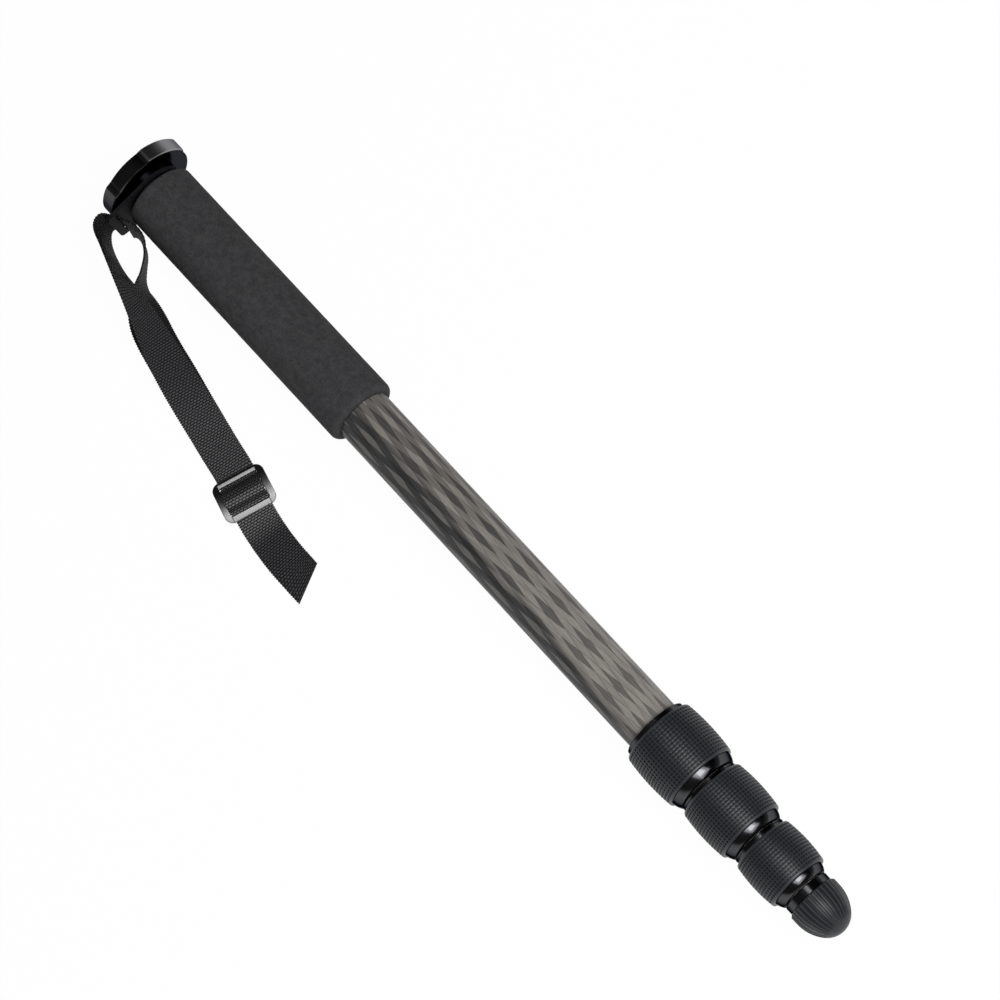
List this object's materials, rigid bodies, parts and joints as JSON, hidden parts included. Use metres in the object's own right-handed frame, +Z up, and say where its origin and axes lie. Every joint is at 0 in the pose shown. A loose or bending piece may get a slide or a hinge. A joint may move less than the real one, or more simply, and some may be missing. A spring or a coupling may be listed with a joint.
{
  "type": "camera monopod",
  "caption": "Telescopic camera monopod with closed legs, twist locks, foam grip, screw platform, fluted rubber foot and a webbing wrist strap with a slider.",
  "frame": {"origin": "centre of the camera platform's face, on the monopod's long axis", "axes": "+X along the monopod to the foot, within 0.7 degrees of the long axis, +Z up from the surface it lies on, the strap's ear on the -Y side"},
  "size_m": [0.5117, 0.1088, 0.0469],
  "materials": {
    "anodised_black": "gloss black anodised",
    "pad_rubber": "matte",
    "plated_steel": "satin",
    "ring_metal": "satin grey",
    "grip_foam": "matte closed-cell foam",
    "carbon_tube": "clear-coated carbon weave",
    "rubber_dark": "matte",
    "foot_rubber": "matte",
    "seal_rubber": "matte",
    "collet_plastic": "moulded",
    "webbing": "woven",
    "slider_metal": "satin dark grey"
  },
  "bodies": {
    "upper_section": {"camera_platform": "anodised_black", "platform_pad": "pad_rubber", "camera_stud": "plated_steel", "head_plug": "anodised_black", "foam_grip": "grip_foam", "upper_tube": "carbon_tube", "ferrule_1": "anodised_black"},
    "wrist_strap": {"strap_ring": "ring_metal", "strap_front_strand": "webbing", "strap_back_strand": "webbing", "strap_slider": "slider_metal"},
    "collet_1": {"lock_collet_1": "collet_plastic"},
    "nut_1": {"lock_nut_1": "anodised_black", "lock_grip_1": "rubber_dark", "lock_seal_1": "seal_rubber"},
    "collet_2": {"lock_collet_2": "collet_plastic"},
    "nut_2": {"lock_nut_2": "anodised_black", "lock_grip_2": "rubber_dark", "lock_seal_2": "seal_rubber"},
    "collet_3": {"lock_collet_3": "collet_plastic"},
    "nut_3": {"lock_nut_3": "anodised_black", "lock_grip_3": "rubber_dark", "lock_seal_3": "seal_rubber"},
    "leg_2": {"leg_tube_2": "carbon_tube", "guide_shell_2_upper": "collet_plastic", "guide_shell_2_lower": "collet_plastic", "ferrule_2": "anodised_black"},
    "leg_3": {"leg_tube_3": "carbon_tube", "guide_shell_3_upper": "collet_plastic", "guide_shell_3_lower": "collet_plastic", "ferrule_3": "anodised_black"},
    "leg_4": {"leg_tube_4": "carbon_tube", "guide_shell_4_upper": "collet_plastic", "guide_shell_4_lower": "collet_plastic", "foot_plug": "anodised_black", "foot_stud": "plated_steel", "rubber_foot": "foot_rubber"}
  },
  "joints": [
    {"name": "strap_swivel", "type": "hinge", "parent": "upper_section", "child": "wrist_strap", "pos_m": [0, 0, 0], "axis": [0.9999, 0, -0.0116], "continuous": true},
    {"name": "lock_1_turn", "type": "hinge", "parent": "collet_1", "child": "nut_1", "pos_m": [0, 0, 0], "axis": [0.9999, 0, -0.0116], "range_deg": [0, 90]},
    {"name": "lock_1_release", "type": "slide", "parent": "upper_section", "child": "collet_1", "axis": [0.9999, 0, -0.0116], "range_m": [0, 0.000375]},
    {"name": "leg_2_extend", "type": "slide", "parent": "upper_section", "child": "leg_2", "axis": [0.9999, 0, -0.0116], "range_m": [0, 0.295]},
    {"name": "lock_2_turn", "type": "hinge", "parent": "collet_2", "child": "nut_2", "pos_m": [0, 0, 0], "axis": [0.9999, 0, -0.0116], "range_deg": [0, 90]},
    {"name": "lock_2_release", "type": "slide", "parent": "leg_2", "child": "collet_2", "axis": [0.9999, 0, -0.0116], "range_m": [0, 0.000375]},
    {"name": "leg_3_extend", "type": "slide", "parent": "leg_2", "child": "leg_3", "axis": [0.9999, 0, -0.0116], "range_m": [0, 0.325]},
    {"name": "lock_3_turn", "type": "hinge", "parent": "collet_3", "child": "nut_3", "pos_m": [0, 0, 0], "axis": [0.9999, 0, -0.0116], "range_deg": [0, 90]},
    {"name": "lock_3_release", "type": "slide", "parent": "leg_3", "child": "collet_3", "axis": [0.9999, 0, -0.0116], "range_m": [0, 0.000375]},
    {"name": "leg_4_extend", "type": "slide", "parent": "leg_3", "child": "leg_4", "axis": [0.9999, 0, -0.0116], "range_m": [0, 0.35]}
  ],
  "couplings": [
    {"joint": "lock_1_turn", "follows": "lock_1_release", "rad_per_m": 4188.8},
    {"joint": "lock_2_turn", "follows": "lock_2_release", "rad_per_m": 4188.8},
    {"joint": "lock_3_turn", "follows": "lock_3_release", "rad_per_m": 4188.8}
  ]
}
